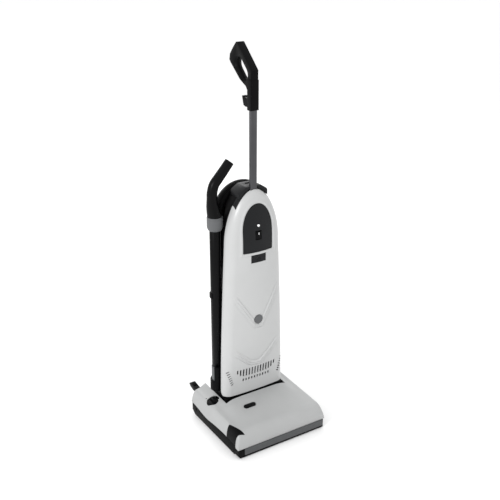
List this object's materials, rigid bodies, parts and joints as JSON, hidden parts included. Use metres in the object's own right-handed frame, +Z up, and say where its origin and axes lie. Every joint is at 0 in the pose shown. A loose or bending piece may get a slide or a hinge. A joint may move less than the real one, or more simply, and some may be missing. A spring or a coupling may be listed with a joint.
{
  "type": "upright vacuum cleaner",
  "caption": "Commercial upright vacuum with a belt-driven brush head, tall arched body, stowed hose and wand, and a loop grip on a flat handle tube.",
  "frame": {"origin": "on the floor, under the middle of the machine's outer box", "axes": "+Z up, -Y to the front where the brush head points, +X to the viewer's right when facing the front"},
  "size_m": [0.31, 0.336, 1.1517],
  "materials": {
    "light_plastic": "satin moulded plastic, off-white grey",
    "head_plastic": "satin moulded plastic, light grey",
    "black_plastic": "black moulded plastic with a fine texture",
    "dark_plastic": "dark grey moulded plastic",
    "grey_plastic": "mid grey moulded plastic",
    "tube_metal": "dark satin anodised tube",
    "bumper_rubber": "grey non-marking rubber",
    "tyre": "black rubber",
    "steel": "bright steel",
    "fan_metal": "pressed aluminium",
    "motor_metal": "painted motor shell",
    "bristle": "moulded roller with nylon bristles",
    "hose_plastic": "black ribbed hose",
    "paper": "filter paper and fleece",
    "lamp": "clear lamp lens"
  },
  "bodies": {
    "floor_head": {"chassis": "black_plastic", "head_cover": "head_plastic", "corner_guard": "black_plastic", "sole_plate": "black_plastic", "front_bumper": "bumper_rubber", "indicator_lens": "dark_plastic", "brush_motor": "motor_metal", "drive_belt": "tyre", "rear_axle_right": "steel", "rear_axle_left": "steel", "roller_pin_right": "steel", "roller_pin_left": "steel", "pedal_pin": "steel"},
    "brush": {"brush_roller": "bristle"},
    "motor_shaft": {"motor_pulley": "steel"},
    "rear_wheel_right": {"rear_wheel_right": "tyre"},
    "rear_wheel_left": {"rear_wheel_left": "tyre"},
    "front_roller_right": {"front_roller_right": "tyre"},
    "front_roller_left": {"front_roller_left": "tyre"},
    "knob": {"height_knob": "black_plastic"},
    "pedal": {"release_pedal": "black_plastic"},
    "body": {"neck_yoke": "black_plastic", "housing": "black_plastic", "cover_hinge_rod": "steel", "control_panel": "dark_plastic", "led_lens": "lamp", "switch_bay": "black_plastic", "suction_motor": "motor_metal", "fan_cowl": "black_plastic", "exhaust_filter": "paper", "dust_bag": "paper", "suction_hose": "hose_plastic", "hose_saddle": "black_plastic", "hose_port": "black_plastic", "wand_dock": "black_plastic", "wand_cuff": "grey_plastic", "wand_tube": "black_plastic", "wand_collar": "grey_plastic", "hand_tube": "black_plastic", "wand_clip": "black_plastic", "handle_tube": "tube_metal", "handle_socket": "black_plastic", "crown_cap": "dark_plastic", "handle_sleeve": "black_plastic", "grip_loop": "black_plastic", "hook_pivot": "steel", "lower_cord_hook": "black_plastic", "cord_gland": "black_plastic", "housing_screw_1": "steel", "housing_screw_2": "steel", "housing_screw_3": "steel", "housing_screw_4": "steel"},
    "cover": {"front_cover": "light_plastic", "round_badge": "grey_plastic"},
    "latch": {"cover_latch": "dark_plastic"},
    "rocker": {"rocker_switch": "black_plastic"},
    "fan": {"fan_rotor": "fan_metal"},
    "cord_hook": {"upper_cord_hook": "black_plastic"}
  },
  "joints": [
    {"name": "recline", "type": "hinge", "parent": "floor_head", "child": "body", "pos_m": [0, 0.075, 0.066], "axis": [1, 0, 0], "range_deg": [-75, 0]},
    {"name": "brush_spin", "type": "hinge", "parent": "floor_head", "child": "brush", "pos_m": [0, -0.118, 0.036], "axis": [1, 0, 0], "continuous": true},
    {"name": "motor_spin", "type": "hinge", "parent": "floor_head", "child": "motor_shaft", "pos_m": [0, -0.046, 0.048], "axis": [1, 0, 0], "continuous": true},
    {"name": "rear_wheel_right_spin", "type": "hinge", "parent": "floor_head", "child": "rear_wheel_right", "pos_m": [-0.13, 0.09, 0.028], "axis": [1, 0, 0], "continuous": true},
    {"name": "rear_wheel_left_spin", "type": "hinge", "parent": "floor_head", "child": "rear_wheel_left", "pos_m": [0.13, 0.09, 0.028], "axis": [1, 0, 0], "continuous": true},
    {"name": "front_roller_right_spin", "type": "hinge", "parent": "floor_head", "child": "front_roller_right", "pos_m": [-0.107, -0.068, 0.014], "axis": [1, 0, 0], "continuous": true},
    {"name": "front_roller_left_spin", "type": "hinge", "parent": "floor_head", "child": "front_roller_left", "pos_m": [0.107, -0.068, 0.014], "axis": [1, 0, 0], "continuous": true},
    {"name": "height_turn", "type": "hinge", "parent": "floor_head", "child": "knob", "pos_m": [-0.129, 0.027, 0.08], "axis": [0, 0, 1], "range_deg": [0, 270]},
    {"name": "pedal_press", "type": "hinge", "parent": "floor_head", "child": "pedal", "pos_m": [-0.127, 0.098, 0.063], "axis": [1, 0, 0], "range_deg": [-12, 0], "stiffness_Nm_per_rad": 1, "springref_deg": 11.46},
    {"name": "cover_open", "type": "hinge", "parent": "body", "child": "cover", "pos_m": [0, -0.002, 0.122], "axis": [1, 0, 0], "range_deg": [0, 50]},
    {"name": "latch_push", "type": "slide", "parent": "cover", "child": "latch", "axis": [0, 1, 0], "range_m": [0, 0.003], "stiffness_N_per_m": 400, "springref_m": -0.003},
    {"name": "switch_rock", "type": "hinge", "parent": "body", "child": "rocker", "pos_m": [0, -0.023, 0.625], "axis": [1, 0, 0], "range_deg": [-10, 0]},
    {"name": "fan_spin", "type": "hinge", "parent": "body", "child": "fan", "pos_m": [0, 0.0165, 0.25], "axis": [0, 0, 1], "continuous": true},
    {"name": "cord_hook_turn", "type": "hinge", "parent": "body", "child": "cord_hook", "pos_m": [0, 0.0255, 0.998], "axis": [0, 1, 0], "range_deg": [0, 180]}
  ],
  "couplings": [
    {"joint": "motor_spin", "follows": "brush_spin", "ratio": 1.625}
  ]
}
